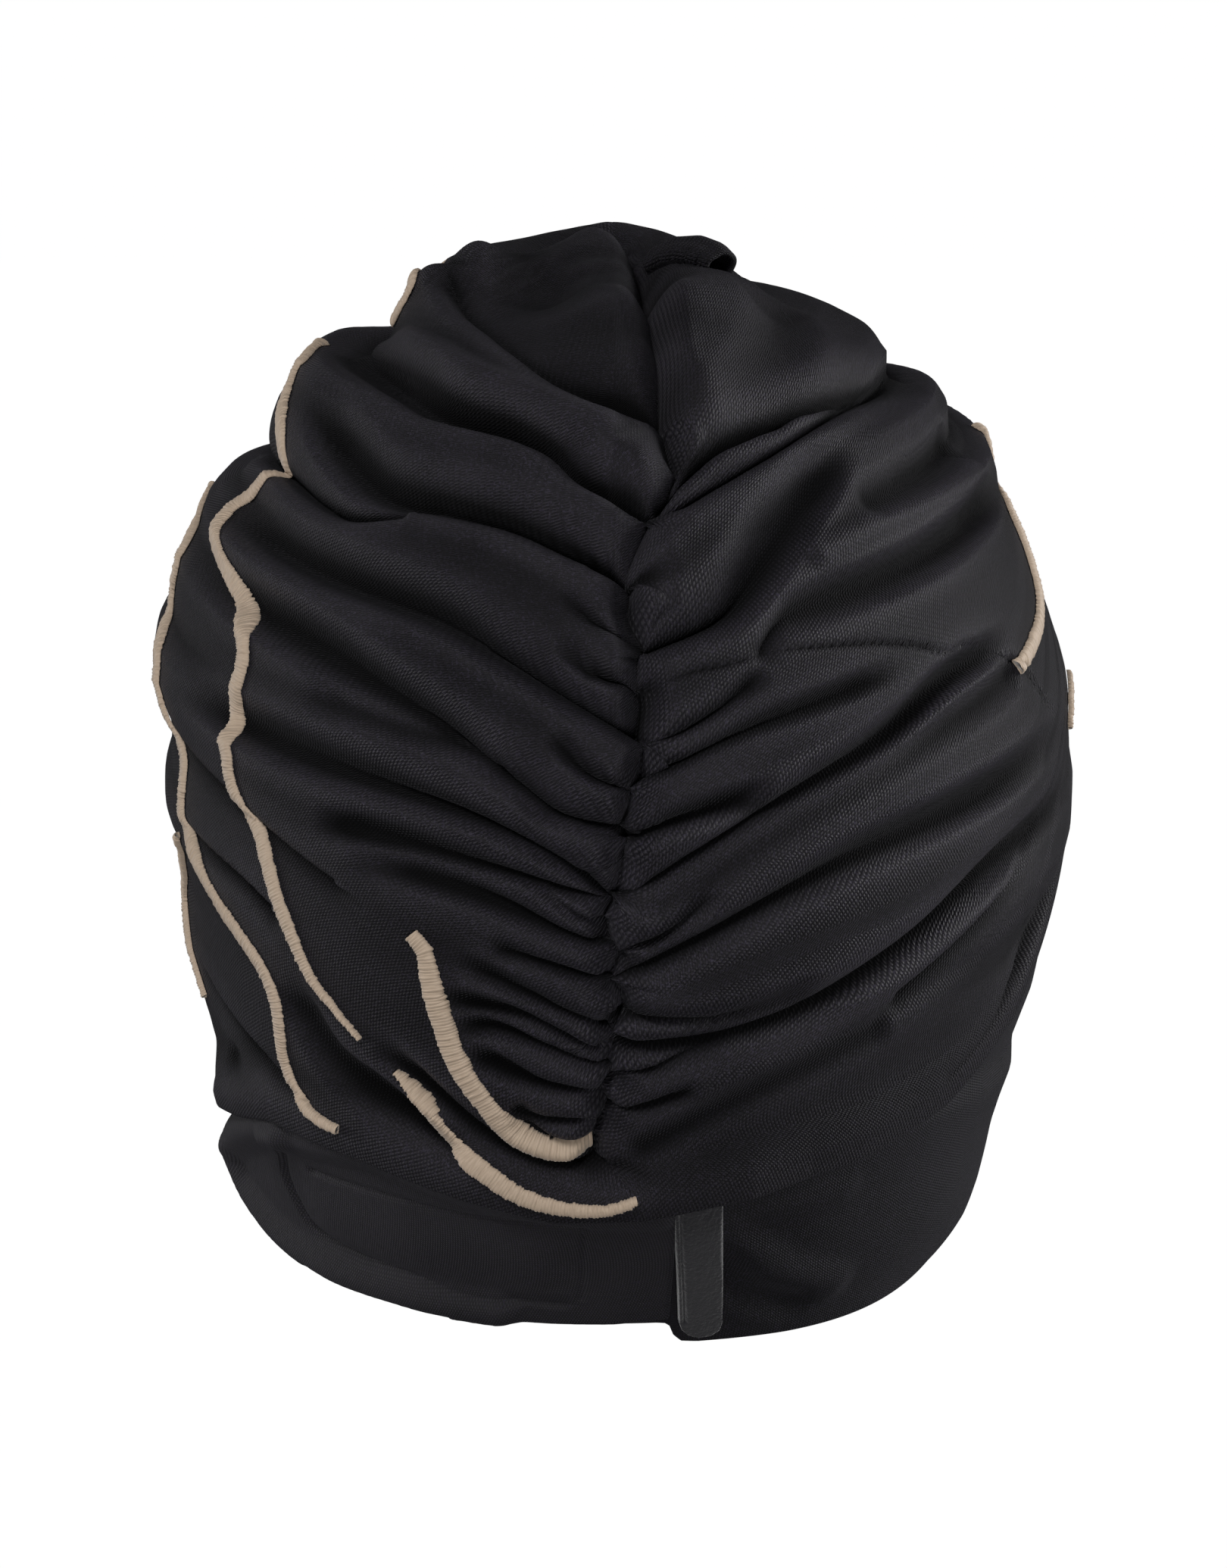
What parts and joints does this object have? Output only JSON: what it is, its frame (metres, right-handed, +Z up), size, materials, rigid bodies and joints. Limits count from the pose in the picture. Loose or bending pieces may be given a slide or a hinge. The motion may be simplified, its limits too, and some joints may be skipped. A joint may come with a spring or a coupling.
{
  "type": "swim cap",
  "caption": "Turban-style fabric swim cap with a gathered centre-back seam, wrapped folds, stitched contrast lines, a smooth rim band and a nape strap with a fastening tab.",
  "frame": {"origin": "inside of the crown, on the head form's upright axis, where the wearer's crown bears", "axes": "+Z up, out of the crown; +Y towards the wearer's forehead; +X towards the wearer's right, so the gathered seam faces -Y"},
  "size_m": [0.195, 0.2091, 0.2159],
  "materials": {
    "drape_tricot": "matt with a soft sheen",
    "band_tricot": "smooth, soft sheen",
    "strap_tricot": "smooth, soft sheen",
    "hook_tape": "matt, fuzzy",
    "stitch_thread": "satin stitch"
  },
  "bodies": {
    "root": {"left_drape": "drape_tricot", "right_drape": "drape_tricot", "rim_band": "band_tricot", "nape_strap": "strap_tricot", "strap_tab": "hook_tape", "line_left_long": "stitch_thread", "line_left_outer": "stitch_thread", "line_left_side": "stitch_thread", "line_left_inner": "stitch_thread", "line_left_hem": "stitch_thread", "line_crown": "stitch_thread", "line_right_upper": "stitch_thread", "line_right_side": "stitch_thread"}
  },
  "joints": []
}
